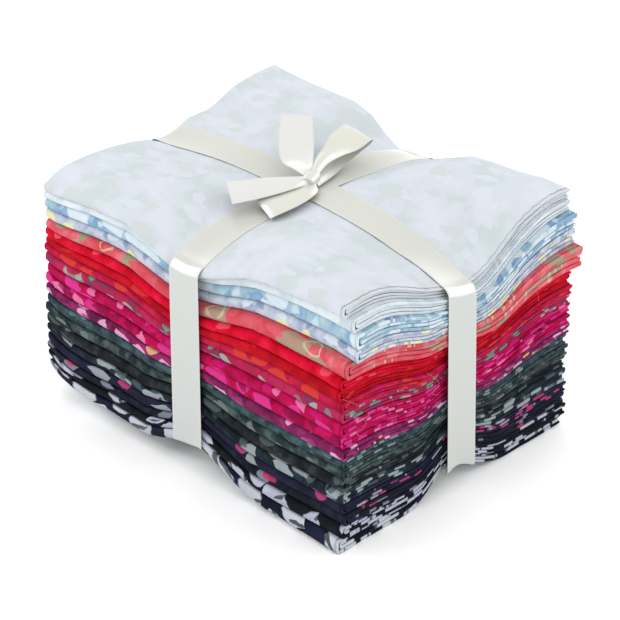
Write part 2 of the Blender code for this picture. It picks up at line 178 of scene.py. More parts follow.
# Unevenness: how far the plies and the layers end past the right-hand end, teeth of the cut edges, and waves
RIGHT_ENDS = (-0.85, 0.0, 0.0, -0.6)
LAYER_ENDS = (0.0, 0.15, -0.35, -0.15)
LAYER_ENDS_BLEND = 7
TOOTH_DEPTH = 0.4
TOOTH_RANGE = (0.5, 1.1)
FRONT_WAVE = 0.35
FRONT_WAVE_LENGTH = 60.0
END_WAVE = 0.15
END_WAVE_LENGTH = 34.0
LAYER_WAVE_SHIFT = 40.0
LEFT_WAVE_SHARE = 0.5
WAVE_SPREAD = 0.8
WAVE_LEVEL = 1.6

# How the ribbon presses the right-hand ends in
PRESSED_REACH = 20.0
PRESSED_STRENGTH = 1.7

# Ribbon: how far each strand stays from the cloth, how far it reaches, and how it turns round the edges
RIBBON_WIDTH = 13.5
RIBBON_THICKNESS = 0.18
LONG_STRAND_GAP = 0.16
SHORT_STRAND_GAP = 0.32
STRAND_EDGE_GAP = 0.14
CROSSING_GAP = 0.40
CROSSING_PLACE = 2.5
CROSSING_REACH = 18.0
CROSSING_STRENGTH = 2.0
EDGE_GAP_POWER = 4
STRAND_REACH_X = 72.3
STRAND_REACH_Y = 57.3
RIBBON_TURN = 3.6
RIBBON_LOWER_TURN = 1.4
RIBBON_ACROSS = 8
RIBBON_TURN_STEPS = 9
SIDE_STEPS = 10
TOP_STEPS = 64
LINE_STEPS = 160
LINE_BLEND = 25
RAIL_STEPS = 12

# How far a strand drifts sideways on its way down the front, and down the right-hand end
FRONT_SIDE_DRIFT = 1.4
RIGHT_SIDE_DRIFT = 1.4

# Bow strands as pairs of edges from the knot outwards
Rails = namedtuple("Rails", "name first second")
TAIL_UP = Rails(
    "ribbon_tail_up",
    ((-3.4, 3.0, 90.0), (-5.2, 2.1, 91.2), (-8.3, 1.3, 92.4), (-12.1, -0.1, 94.0), (-17.3, 3.3, 95.6),
     (-22.0, 8.1, 97.0), (-29.8, 16.7, 98.5)),
    ((-3.4, 4.9, 90.0), (-4.2, 5.6, 91.4), (-4.4, 6.6, 93.0), (-7.0, 9.8, 94.4), (-12.6, 15.7, 96.6),
     (-21.4, 24.0, 98.3)),
)
TAIL_LEFT = Rails(
    "ribbon_tail_left",
    ((-1.9, 2.8, 90.4), (-3.0, 1.1, 91.6), (-6.7, -4.8, 92.6), (-10.0, -9.6, 93.0), (-14.3, -15.9, 93.0),
     (-18.7, -20.5, 92.4)),
    ((0.2, 1.6, 90.2), (0.1, -0.7, 91.0), (0.5, -5.5, 91.8), (-0.5, -12.1, 92.2), (-2.2, -17.5, 92.2),
     (-4.6, -23.2, 92.0), (-7.9, -28.3, 91.4)),
)
LOOP_BACK = Rails(
    "ribbon_loop_back",
    ((-3.4, 2.7, 90.2), (-3.8, 5.0, 91.2), (-5.5, 8.0, 92.6), (-7.1, 11.1, 93.6), (-8.4, 16.2, 95.0),
     (-11.4, 22.7, 96.0), (-12.6, 29.9, 96.2), (-13.2, 31.3, 95.2), (-14.7, 31.6, 93.0), (-15.0, 29.0, 90.8),
     (-13.2, 22.8, 89.6), (-8.4, 12.4, 89.2), (-4.3, 4.3, 89.6)),
    ((-0.7, 2.6, 90.2), (-1.5, 6.1, 91.2), (-2.7, 12.6, 92.6), (-1.3, 18.2, 93.8), (1.0, 23.2, 95.0),
     (0.2, 30.4, 95.4), (-0.5, 32.1, 94.2), (-1.5, 31.6, 92.4), (-2.4, 27.5, 90.4), (-1.5, 19.9, 89.4),
     (0.3, 11.7, 89.2), (1.6, 3.3, 89.5)),
)
LOOP_FRONT = Rails(
    "ribbon_loop_front",
    ((-1.6, 3.5, 90.2), (-0.9, 0.9, 90.6), (-1.3, -7.4, 91.2), (-2.7, -14.6, 91.2), (-4.8, -19.0, 90.6),
     (-5.8, -19.1, 89.8), (-6.5, -17.3, 88.9), (-5.5, -10.9, 88.8), (-3.8, -3.9, 88.9), (-2.9, 3.4, 89.3)),
    ((1.4, 2.4, 90.0), (4.8, -0.2, 90.2), (7.1, -6.4, 90.7), (7.8, -13.0, 90.9), (7.3, -19.0, 90.8),
     (6.2, -23.2, 90.1), (5.4, -23.4, 89.3), (4.8, -21.9, 88.7), (5.0, -16.2, 88.7), (5.6, -10.1, 88.9),
     (3.0, 1.2, 89.2)),
)
BOW = (TAIL_UP, TAIL_LEFT, LOOP_BACK, LOOP_FRONT)
BOW_THICKNESS = 0.18
BOW_STEPS = 36
BOW_ACROSS = 10
BOW_CROWN = 0.35
PLEAT_DEPTH = 0.55
PLEAT_COUNT = 1.5
PLEAT_SHARE = 0.3
PLEAT_FADE = 1.5

# Knot, and the crease round it: how deep that is, where it lies along the knot, how far it wanders, how wide
KNOT_PLACE = (-1.5, 3.0, 90.7)
KNOT_SIZE = (5.2, 6.4, 4.6)
KNOT_TURN = 20.0
KNOT_STEPS = (28, 12)
KNOT_SQUARENESS = 0.75
KNOT_SWELL = 0.20
KNOT_GIRTH = 18.0
CREASE_DEPTH = 0.0875
CREASE_PLACE = 0.55
CREASE_WANDER = 0.12
CREASE_WIDTH = 0.09

# Loose threads on the right face: the fabric that each comes from, its colour, and its points
Thread = namedtuple("Thread", "name fabric colour points")
THREADS = (
    Thread("thread_white", 2, "E8ECF0", (
        (71.0, 15.2, 86.6), (73.2, 14.6, 84.6), (74.2, 14.1, 82.6), (74.5, 13.2, 80.1), (74.5, 10.8, 78.0),
        (74.5, 10.1, 75.7), (74.3, 10.0, 73.2), (74.0, 10.5, 70.0), (73.6, 10.0, 67.6), (73.2, 8.5, 66.2),
        (71.8, 5.6, 64.8),
    )),
    Thread("thread_red", 6, "E05068", (
        (70.8, 35.0, 66.5), (72.3, 35.6, 64.6), (72.6, 36.7, 61.9), (71.6, 38.0, 59.0),
    )),
    Thread("thread_pink_upper", 8, "D06088", (
        (71.0, -16.0, 54.6), (72.4, -13.4, 52.0), (73.0, -12.2, 49.6), (73.0, -14.1, 48.3),
        (72.6, -15.0, 46.9), (72.4, -12.5, 45.0), (71.2, -10.0, 44.2),
    )),
    Thread("thread_pink_lower", 9, "C86090", (
        (70.8, -54.0, 57.6), (72.4, -51.9, 54.4), (73.2, -49.1, 53.2), (73.4, -47.6, 50.8),
        (73.2, -49.0, 49.0), (72.9, -51.2, 48.6), (72.6, -49.9, 46.3), (71.4, -46.8, 44.4),
    )),
    Thread("thread_pink_corner", 7, "D85068", (
        (70.8, -56.0, 62.6), (72.3, -53.6, 61.0), (72.9, -51.4, 59.4), (72.7, -50.1, 57.4),
        (71.4, -51.3, 56.2),
    )),
)
THREAD_RADIUS = 0.11
THREAD_SIDES = 6
THREAD_STEPS = 60
THREAD_SHADE = 0.75
TWIST_SCALE = 0.6
TWIST_DISTORTION = 1.5

# Prints: mottled ground colours with the size of a blotch in mm, then scattered shapes. A shape has the mean
# distance to the next one in mm, the share of places it takes, and its half length, half width and hollow
# middle as shares of that distance.
SHAPE_INPUTS = ("Spacing", "Density", "Length", "Width", "Hollow")
Shape = namedtuple("Shape", "colour spacing density length width hollow", defaults=(0.0,))
Print = namedtuple("Print", "ground blotch shapes")
PRINTS = (
    Print(("D6DCE3", "CED7D9", "DBE0E9"), 14.0, (
        Shape("DBE0E9", 7, 0.5, 0.45, 0.26),
        Shape("D1D8D8", 9, 0.25, 0.40, 0.24),
    )),
    Print(("DCE6EC", "CEDCE6", "E6EEF2"), 9.0, (
        Shape("E8F0F3", 7, 0.35, 0.42, 0.26),
    )),
    Print(("A6C6D6", "8DB0D0", "BAD4DF"), 9.0, (
        Shape("E3EFF5", 11, 0.75, 0.50, 0.36),
        Shape("7EA4CC", 8, 0.35, 0.42, 0.20),
        Shape("D2E4EE", 4, 0.45, 0.45, 0.26),
    )),
    Print(("C2C9DB", "A9B4CC", "CFD6E2"), 5.0, (
        Shape("EFE9A8", 6, 0.40, 0.36, 0.34),
        Shape("8E9FBC", 4, 0.40, 0.42, 0.24),
        Shape("DDE6EE", 5, 0.45, 0.42, 0.28),
    )),
    Print(("DB5C68", "E87A84", "D84C58"), 10.0, (
        Shape("A89E88", 11, 0.52, 0.50, 0.38),
        Shape("86A07C", 7, 0.32, 0.38, 0.24),
        Shape("D0C4A4", 7, 0.32, 0.44, 0.40, 0.66),
        Shape("E2606A", 6, 0.30, 0.42, 0.28),
    )),
    Print(("DC0230", "C2001C", "E6183E"), 7.0, (
        Shape("F0506A", 6, 0.30, 0.30, 0.28),
    )),
    Print(("C2021C", "A80016", "D01028"), 10.0, (
        Shape("DC3038", 8, 0.30, 0.42, 0.24),
        Shape("A50A2E", 6, 0.30, 0.42, 0.24),
    )),
    Print(("BA143E", "A60A34", "CA2048"), 6.0, (
        Shape("DC4034", 8, 0.40, 0.42, 0.30),
        Shape("CE0E70", 7, 0.30, 0.38, 0.24),
    )),
    Print(("B41E4C", "8C345A", "BE2A5A"), 8.0, (
        Shape("5EA88C", 7, 0.45, 0.42, 0.24),
        Shape("A2B6AA", 6, 0.50, 0.44, 0.18),
        Shape("748A88", 6, 0.28, 0.34, 0.18),
    )),
    Print(("B8034C", "980038", "C60E5A"), 7.0, (
        Shape("E43C96", 8, 0.68, 0.46, 0.34),
        Shape("D01274", 6, 0.45, 0.42, 0.28),
        Shape("EE78AE", 6, 0.30, 0.34, 0.26),
    )),
    Print(("BA044E", "94003C", "C81262"), 7.0, (
        Shape("E23A92", 7, 0.65, 0.44, 0.32),
        Shape("EC84B4", 6, 0.32, 0.34, 0.26),
        Shape("8A0844", 6, 0.35, 0.42, 0.26),
    )),
    Print(("7E2256", "962E68", "601644"), 7.0, (
        Shape("F0B2DA", 7, 0.58, 0.36, 0.30),
        Shape("E8B882", 8, 0.14, 0.26, 0.24),
        Shape("A63876", 6, 0.45, 0.42, 0.28),
    )),
    Print(("3A4C54", "2A3A42", "4A6066"), 5.0, (
        Shape("8E9EA4", 7, 0.42, 0.40, 0.26),
        Shape("567E7C", 6, 0.25, 0.36, 0.22),
        Shape("212D34", 5, 0.40, 0.42, 0.26),
    )),
    Print(("384649", "263438", "52625C"), 5.0, (
        Shape("74827F", 6, 0.42, 0.40, 0.26),
        Shape("1C282A", 5, 0.45, 0.42, 0.26),
    )),
    Print(("1F252B", "141A1F", "32393E"), 6.0, (
        Shape("535D5F", 8, 0.45, 0.44, 0.28),
        Shape("8A9294", 7, 0.14, 0.36, 0.20),
    )),
    Print(("1B2730", "131C25", "25343E"), 8.0, (
        Shape("A6B2B6", 9, 0.76, 0.48, 0.32),
        Shape("4A5C60", 6, 0.40, 0.42, 0.26),
        Shape("19232B", 5, 0.50, 0.46, 0.12),
    )),
    Print(("202038", "171A2C", "28263F"), 7.0, (
        Shape("C24282", 7, 0.58, 0.38, 0.30),
        Shape("A2AEB4", 8, 0.40, 0.42, 0.24),
        Shape("9A5AB2", 11, 0.14, 0.28, 0.24),
    )),
    Print(("181C2B", "111523", "242937"), 6.0, (
        Shape("8A90A0", 7, 0.45, 0.44, 0.24),
        Shape("C23A6A", 9, 0.14, 0.26, 0.22),
    )),
    Print(("14151C", "0F1017", "1D1E29"), 8.0, (
        Shape("CACEE2", 9, 0.85, 0.50, 0.38),
        Shape("14151C", 5, 0.50, 0.50, 0.12),
    )),
    Print(("181C32", "111426", "1F243E"), 9.0, (
        Shape("D8E0EA", 9, 0.90, 0.62, 0.50),
        Shape("161929", 6, 0.80, 0.62, 0.14),
    )),
)

# How the ground is mottled, and how the shapes are scattered, bent and shaded
BLOTCH_STOPS = (0.36, 0.50, 0.66)
BLOTCH_ROUGHNESS = 0.6
SHAPE_SHADING = 0.35
SHAPE_START = 11.0
SHAPE_SHIFT = (37.0, 23.0)
SHAPE_WOBBLE = 0.22
SHAPE_SOFTNESS = 0.07
SHAPE_WOBBLE_SCALE = 2.2
SHAPE_STRETCH = 1.5
SHAPE_SCATTER = 0.85
SHAPE_BEND = 0.5
SHAPE_LEAST_SIZE = 0.65
SHAPE_SIZE_RANGE = 0.5

# Cotton: its threads, soft wrinkles, and the length of one wave of the wave texture at scale 1
COTTON_ROUGHNESS = 0.88
COTTON_SHINE = 0.1
COTTON_DISTORTION = 0.6
THREAD_SPACING = 0.32
THREAD_BUMP = 0.12
THREAD_HEIGHT = 0.05
WRINKLE_SIZE = 9.0
WRINKLE_BUMP = 0.25
WRINKLE_HEIGHT = 0.8
WAVE_LENGTH = 0.314

# Satin: colours with painted shade on its upright sides, a painted highlight where it bends, and on top,
# with the upward share of the normal for each
# The strands' colour on top is the satin darkened with painted shade
SATIN_STRAND_SHADED = "D1D2C9"
SATIN_SIDE_SHADE = "CFD4D1"
SATIN_BEND_HIGHLIGHT = "F8F9F5"
SATIN_EDGE = "D8D9D3"
SATIN_STOPS = (0.15, 0.4, 0.86, 0.985)
SATIN_BORDER = 1.1
SATIN_ROUGHNESS = 0.3
SATIN_SHINE = 0.5
SATIN_DISTORTION = 0.8
SATIN_THREAD_SPACING = 0.4
SATIN_BUMP = 0.08
SATIN_THREAD_HEIGHT = 0.03
# Lit and shaded copies of the same satin on the bow: the tails painted lighter, the loops painted darker and
# warmer
BOW_TAIL_LIT = "DEDEDB"
BOW_LOOP_SHADED = "DADACE"

# Light: how strong the white surroundings are, and the painted shade that lowers all colours above so that
# they show true under them. A lamp has a name, a place and a size in metres, and a power in watts.
SURROUNDINGS = 1.42
PAINTED_SHADE = 0.715
LAMPS = (
    ("light_left_front", (-0.53, -0.48, 0.55), 0.16, 1.0),
    ("light_right_back", (0.48, 0.55, 0.53), 0.16, 0.6),
)
LAMP_AIM = (0.0, 0.0, 0.05)
FLOOR_REACH = 3.0
FLOOR_WHITE = 0.98

# Angle from which an edge is shaded sharp, on cloth and on rounder pieces
SHARP_ANGLE = 55.0
ROUND_SHARP_ANGLE = 75.0


def srgb(code):
    """Turn a six-digit sRGB code into linear red, green, blue and alpha, darkened by the painted shade."""
    channels = [int(code[i:i + 2], 16) / 255.0 for i in (0, 2, 4)]
    linear = [c / 12.92 if c <= 0.04045 else ((c + 0.055) / 1.055) ** 2.4 for c in channels]
    return (*(c * PAINTED_SHADE for c in linear), 1.0)


def bump(distance, reach_before, reach_after):
    """A smooth hill that is 1 at distance 0 and 0 from the reach onwards, on either side."""
    reach = np.where(distance < 0, reach_before, reach_after)
    share = np.clip(np.abs(distance) / reach, 0.0, 1.0)
    return 0.5 * (1.0 + np.cos(math.pi * share))


def on_stack(x, y):
    """A place as its shares of half the length and half the depth of the stack, each from -1 to 1."""
    return np.clip(x / (STACK_LENGTH / 2), -1.0, 1.0), np.clip(y / (STACK_DEPTH / 2), -1.0, 1.0)


def between_corners(x, y, values):
    """Blend four values, one a row of the corner table, across the stack."""
    u, v = on_stack(x, y)
    return sum(value * (1 + c.side_x * u) * (1 + c.side_y * v) / 4 for value, c in zip(values, CORNERS))


def waist_depth(waist, along):
    """Depth of a waist at a place along its strand, from -1 at the near end to 1 at the far end."""
    end = np.where(along < 0, waist.near_end, waist.far_end)
    return waist.middle + (end - waist.middle) * along * along


def table_line(table, values):
    """Read a table of (place, value) pairs as a line."""
    places, across = np.array(table, dtype=float).T
    return np.interp(values, places, across)


def drawn_in(x, y, front_to_back, left_to_right, across_at, along_at):
    """How far both strands together draw the stack in at a place."""
    u, v = on_stack(x, y)
    across_x = bump(x - table_line(across_at, y), front_to_back.reach_before, front_to_back.reach_after)
    across_y = bump(y - table_line(along_at, x), left_to_right.reach_before, left_to_right.reach_after)
    crossing = front_to_back.middle * across_x * across_y
    return waist_depth(front_to_back, v) * across_x + waist_depth(left_to_right, u) * across_y - crossing


def dents(x, y, table):
    """How deep the local dents are at a place."""
    depth = 0.0
    for dent in table:
        along_x = bump(x - dent.x, dent.reach_x, dent.reach_x)
        depth = depth + dent.depth * along_x * bump(y - dent.y, dent.reach_y, dent.reach_y)
    return depth


def edge_shares(x, y):
    """How near a place is to an edge and to a corner, from 0 to 1."""
    u, v = [np.abs(share) for share in on_stack(x, y)]
    return np.maximum(u, v) ** EDGE_POWER, (u * v) ** EDGE_POWER


def top_surface(x, y):
    """Height of the top of the stack."""
    edge, corner = edge_shares(x, y)
    crown = between_corners(x, y, [c.crown for c in CORNERS])
    droop = between_corners(x, y, [c.droop for c in CORNERS])
    at_left = np.clip(-x / (STACK_LENGTH / 2), 0.0, 1.0) ** EDGE_POWER
    edge_droop = EDGE_DROOP + (LEFT_EDGE_DROOP - EDGE_DROOP) * at_left
    drawn = drawn_in(x, y, TOP_FRONT_TO_BACK, TOP_LEFT_TO_RIGHT, TOP_FRONT_TO_BACK_LINE,
                     TOP_LEFT_TO_RIGHT_LINE)
    return crown - edge_droop * edge - droop * corner - drawn - dents(x, y, TOP_DENTS)


def bottom_surface(x, y):
    """Height of the bottom of the stack: flat between the strands, which lift it."""
    edge, corner = edge_shares(x, y)
    curl = between_corners(x, y, [c.curl for c in CORNERS]) * corner
    lift = between_corners(x, y, [c.lift for c in CORNERS]) * edge
    drawn = drawn_in(x, y, BOTTOM_FRONT_TO_BACK, BOTTOM_LEFT_TO_RIGHT, BOTTOM_FRONT_TO_BACK_LINE,
                     BOTTOM_LEFT_TO_RIGHT_LINE)
    return np.maximum(0.0, curl + lift) + drawn + dents(x, y, BOTTOM_DENTS)


def underside(number, x, y):
    """Height of the underside of a fabric, counted from 0 at the top. Number -1 is the top of the stack."""
    base = bottom_surface(x, y)
    height = top_surface(x, y) - base
    if number < 0:
        return base + height
    place = PLACES[number]
    shares = (place.near, place.left, place.right, (place.left + place.right) / 2)
    return base + height * between_corners(x, y, shares) / 100.0


def waves(values, seed, longest, count=4):
    """A gentle uneven line over the values, about -1 to 1, from a few sine waves."""
    chance = np.random.default_rng(seed)
    total = np.zeros_like(values, dtype=float)
    for n in range(count):
        length = longest / (1.0 + WAVE_SPREAD * n)
        total += np.sin(2 * math.pi * values / length + chance.uniform(0, 2 * math.pi)) / (1.0 + n)
    return total / WAVE_LEVEL


def fold_arc(centre, reach, half_height, start, end, steps, power=2.0):
    """Points inside a rounded fold between two angles in degrees, as (y, h). A higher power is squarer."""
    points = []
    for n in range(1, steps):
        angle = math.radians(start + (end - start) * n / steps)
        c, s = math.cos(angle), math.sin(angle)
        points.append((centre[0] + reach * math.copysign(abs(c) ** (2 / power), c),
                       centre[1] + half_height * math.copysign(abs(s) ** (2 / power), s)))
    return points


def section_path(place):
    """Centre line of one fabric's folded section as (y, h) points, with the layer that each lies on."""
    low, lower_inner, upper_inner, high = LAYER_CENTRES
    outside = PLY_OFFSETS[0] + PLY_THICKNESS / 2
    front = -(STACK_DEPTH / 2 + place.front) + FOLD_REACH + outside
    roll = front + ROLL_SETBACK
    back = STACK_DEPTH / 2 + place.back - SMALL_FOLD_REACH - outside
    path = []
    layer = []

    def add(points, number):
        path.extend(points)
        layer.extend([number] * len(points))

    def run(start, end, height, number):
        add([(start + (end - start) * n / LAYER_STEPS, height) for n in range(LAYER_STEPS + 1)], number)

    run(back + OUTER_CUT_REACH, front, low, 0)
    add(fold_arc((front, (low + high) / 2), FOLD_REACH, (high - low) / 2, 270, 90, FOLD_STEPS,
                 FRONT_FOLD_POWER), -1)
    run(front, back, high, 1)
    add(fold_arc((back, (high + upper_inner) / 2), SMALL_FOLD_REACH, (high - upper_inner) / 2, 90, -90,
                 SMALL_FOLD_STEPS), -1)
    run(back, roll, upper_inner, 2)
    add(fold_arc((roll, (upper_inner + lower_inner) / 2), SMALL_FOLD_REACH, (upper_inner - lower_inner) / 2,
                 90, 270, SMALL_FOLD_STEPS), -1)
    run(roll, back - INNER_CUT_INSET, lower_inner, 3)
    return np.array(path), np.array(layer)


def path_normals(path):
    """Unit normal at each point of a (y, h) path, on the outer side of its first fold."""
    tangent = np.gradient(path, axis=0)
    tangent /= np.linalg.norm(tangent, axis=1)[:, None]
    return np.stack([-tangent[:, 1], tangent[:, 0]], axis=1)


def path_lengths(points):
    """Length from the start of a path to each of its points."""
    steps = np.linalg.norm(np.diff(points, axis=0), axis=1)
    return np.concatenate([[0.0], np.cumsum(steps)])


def ply_outline():
    """Closed outline of the four plies along X, from the outer ply's cut edge on the right.

    Each row is the share of the length, the bulge past the end, the offset from the layer's middle, the
    cloth's length so far in plies, and how far that ply ends past the right-hand end.
    """
    half = PLY_THICKNESS / 2
    pitch = PLY_OFFSETS[0] - PLY_OFFSETS[1]
    rows = []

    def along(ply, side, outward):
        """One face of one ply. Outward means away from the cloth's first edge."""
        runs_left = ply % 2 == 0
        stations = PLY_STATIONS[::-1] if runs_left == outward else PLY_STATIONS
        for share in stations:
            walked = 1.0 - share if runs_left else share
            rows.append((share, 0.0, PLY_OFFSETS[ply] + side * half, ply + walked, RIGHT_ENDS[ply]))

    def turn(ply, outer, outward):
        """The fold between a ply and the next one, on its outer or inner face."""
        centre = (PLY_OFFSETS[ply] + PLY_OFFSETS[ply + 1]) / 2
        at_left = ply % 2 == 0
        radius = pitch / 2 + (half if outer else -half)
        reach = TURN_REACH if outer else radius
        angles = TURN_ANGLES if outer else (0.0,)
        if outer and not at_left:
            radius = END_FOLD_HEIGHT
            reach = END_FOLD_REACH
            angles = END_FOLD_ANGLES
        for angle in angles if outward else angles[::-1]:
            turned = math.radians(angle)
            bulge = reach * math.sqrt(math.cos(turned)) * (-1.0 if at_left else 1.0)
            rows.append((0.0 if at_left else 1.0, bulge, centre + radius * math.sin(turned), ply + 1.0,
                         RIGHT_ENDS[ply]))

    last = len(PLY_OFFSETS) - 1
    for ply in range(last + 1):
        even = ply % 2 == 0
        along(ply, +1 if even else -1, True)
        if ply < last:
            turn(ply, even, True)
    for ply in range(last, -1, -1):
        even = ply % 2 == 0
        along(ply, -1 if even else +1, False)
        if ply > 0:
            turn(ply - 1, even, False)
    return np.array(rows)


def right_reach(place, y):
    """Where a fabric ends on the right, pressed in under the ribbon."""
    share = np.clip((y + STACK_DEPTH / 2) / STACK_DEPTH, 0.0, 1.0)
    end = STACK_LENGTH / 2 + place.reach_near + (place.reach_far - place.reach_near) * share
    from_ribbon = y - TOP_LEFT_TO_RIGHT_LINE[-1][1]
    pressed = np.clip(PRESSED_STRENGTH * bump(from_ribbon, PRESSED_REACH, PRESSED_REACH), 0.0, 1.0)
    inside_ribbon = STRAND_REACH_X - LONG_STRAND_GAP - END_FOLD_REACH - END_WAVE
    return end - pressed * np.maximum(0.0, end - inside_ribbon)


def make_fabric(number):
    """One folded fat quarter as a thin closed sheet.

    Its UV map is the place on the cloth in metres: along X, and along the folded layers.
    """
    place = PLACES[number]
    path, layer = section_path(place)
    normals = path_normals(path)
    outline = ply_outline()
    share, bulge, offset, walked, end_past = outline.T

    y = path[:, 0:1] + normals[:, 0:1] * offset
    h = path[:, 1:2] + normals[:, 1:2] * offset
    ends = np.array([LAYER_ENDS[n] if n >= 0 else 0.0 for n in layer])
    ends = np.convolve(np.pad(ends, LAYER_ENDS_BLEND // 2, mode="edge"),
                       np.ones(LAYER_ENDS_BLEND) / LAYER_ENDS_BLEND, mode="valid")
    seed = number * 10
    along_layers = path[:, 0] + LAYER_WAVE_SHIFT * np.maximum(layer, 0)
    edge_wave = END_WAVE * waves(along_layers, seed + 1, END_WAVE_LENGTH)
    right = right_reach(place, y) + (ends + edge_wave)[:, None] + end_past
    left = -(STACK_LENGTH / 2 + place.reach_left) + LEFT_WAVE_SHARE * edge_wave[:, None] + np.zeros_like(y)
    x = left + share * (right - left) + bulge

    front_share = np.clip(-y / (STACK_DEPTH / 2), 0.0, 1.0) ** 2
    left_share = np.clip(-x / (STACK_LENGTH / 2), 0.0, 1.0)
    y = y + (FRONT_WAVE * waves(x, seed + 2, FRONT_WAVE_LENGTH) + place.front * left_share) * front_share
    lower = underside(number, x, y)
    upper = underside(number - 1, x, y)
    z = lower + h / NOMINAL_PITCH * (upper - lower)

    points = np.stack([x, y, z], axis=2).reshape(-1, 3) * MM
    uv = grid_pairs(x, path_lengths(path)[:, None]) * MM + np.array(CLOTH_SHIFT) * (number + 1)
    points, faces, uv = toothed_sheet(points, uv, layer, walked, np.random.default_rng(seed + 3))
    return build_mesh(f"fabric_{number + 1:02d}_cloth", points, faces, uv)


def toothed_sheet(points, uv, layer, walked, chance):
    """Points, faces and UVs of a folded sheet from its rings, with small teeth along its two cut edges."""
    rings, around = len(layer), len(walked)
    last = len(PLY_OFFSETS)
    inner_cut = next(n for n in range(around - 1) if walked[n] == walked[n + 1] == last)
    all_points = [points]
    all_uv = [uv]
    faces = []
    tip = rings * around
    for j in range(rings - 1):
        near, far = j * around, (j + 1) * around
        on_layer = layer[j] >= 0 and layer[j] == layer[j + 1]
        for i in range(around):
            m = (i + 1) % around
            a, b, c, d = near + i, near + m, far + m, far + i
            if on_layer and i in (inner_cut, around - 1):
                tips = (points[[a, b]] + points[[d, c]]) / 2
                tips[:, 0] += TOOTH_DEPTH * MM * chance.uniform(*TOOTH_RANGE)
                all_points.append(tips)
                all_uv.append((uv[[a, b]] + uv[[d, c]]) / 2)
                faces += [(a, b, tip + 1, tip), (tip, tip + 1, c, d), (b, c, tip + 1), (a, tip, d)]
                tip += 2
            else:
                faces.append((a, b, c, d))
    return np.concatenate(all_points), faces + end_faces(rings, around), np.concatenate(all_uv)


def end_faces(rings, around):
    """The two faces that close a tube through rings of points."""
    return [tuple(range(around))[::-1], tuple((rings - 1) * around + n for n in range(around))]


def grid_pairs(first, second):
    """Rows of (first, second) over a grid, ring by ring."""
    return np.stack(np.broadcast_arrays(first, second), axis=2).reshape(-1, 2)


def add_object(name, data):
    """Put a new object in the scene."""
    thing = bpy.data.objects.new(name, data)
    bpy.context.scene.collection.objects.link(thing)
    return thing


def build_mesh(name, points, faces, uvs, sharp=SHARP_ANGLE):
    """Make a smooth-shaded object facing outwards, with a UV for each vertex."""
    mesh = bpy.data.meshes.new(name)
    mesh.from_pydata(points.tolist(), [], faces)
    mesh.update()
    corners = np.zeros(len(mesh.loops), dtype=np.int32)
    mesh.loops.foreach_get("vertex_index", corners)
    layer = mesh.uv_layers.new(name=UV_NAME)
    layer.data.foreach_set("uv", uvs[corners].astype(np.float32).ravel())
    if signed_volume(mesh) < 0:
        mesh.flip_normals()
    mesh.shade_smooth()
    mesh.set_sharp_from_angle(angle=math.radians(sharp))
    return add_object(name, mesh)


def signed_volume(mesh):
    """Volume inside a closed mesh, negative when its faces point inwards."""
    mesh.calc_loop_triangles()
    corners = np.zeros(len(mesh.loop_triangles) * 3, dtype=np.int32)
    mesh.loop_triangles.foreach_get("vertices", corners)
    places = np.zeros(len(mesh.vertices) * 3)
    mesh.vertices.foreach_get("co", places)
    triangles = places.reshape(-1, 3)[corners].reshape(-1, 3, 3)
    return float(np.einsum("ij,ij->i", triangles[:, 0], np.cross(triangles[:, 1], triangles[:, 2])).sum())


def make_strip(name, grid, thickness, closed):
    """A ribbon from a grid of points (along, across, 3): the grid is its lower face."""
    rows, columns = grid.shape[:2]
    ahead = np.roll(grid, -1, 0) - np.roll(grid, 1, 0) if closed else np.gradient(grid, axis=0)
    side = np.gradient(grid, axis=1)
    normal = np.cross(ahead, side)
    normal /= np.linalg.norm(normal, axis=2)[:, :, None]
    upper = grid + normal * thickness
    points = np.concatenate([grid.reshape(-1, 3), upper.reshape(-1, 3)]) * MM
    middle = grid[:, columns // 2]
    lengths = path_lengths(middle) * MM
    across = (np.arange(columns) / (columns - 1)) * RIBBON_WIDTH * MM
    uv = grid_pairs(lengths[:, None], across[None, :])
    uv = np.concatenate([uv, uv])
    total = rows * columns
    faces = []
    for j in range(rows if closed else rows - 1):
        k = (j + 1) % rows
        for c in range(columns - 1):
            a, b = j * columns + c, j * columns + c + 1
            e, f = k * columns + c + 1, k * columns + c
            faces.append((a, b, e, f))
            faces.append((total + f, total + e, total + b, total + a))
        for c in (0, columns - 1):
            a, f = j * columns + c, k * columns + c
            faces.append((a, f, total + f, total + a) if c == 0 else (total + a, total + f, f, a))
    if not closed:
        for j in (0, rows - 1):
            for c in range(columns - 1):
                a, b = j * columns + c, j * columns + c + 1
                faces.append((total + a, total + b, b, a) if j == 0 else (a, b, total + b, total + a))
    return build_mesh(name, points, faces, uv)


def smooth_line(table, values):
    """Read a table of (place, value) pairs as a smooth line."""
    places = np.array(table, dtype=float)[:, 0]
    fine = np.linspace(places[0], places[-1], LINE_STEPS + 1)
    line = table_line(table, fine)
    kernel = np.hanning(LINE_BLEND)
    line = np.convolve(np.pad(line, LINE_BLEND // 2, mode="edge"), kernel / kernel.sum(), mode="valid")
    return np.interp(values, fine, line)


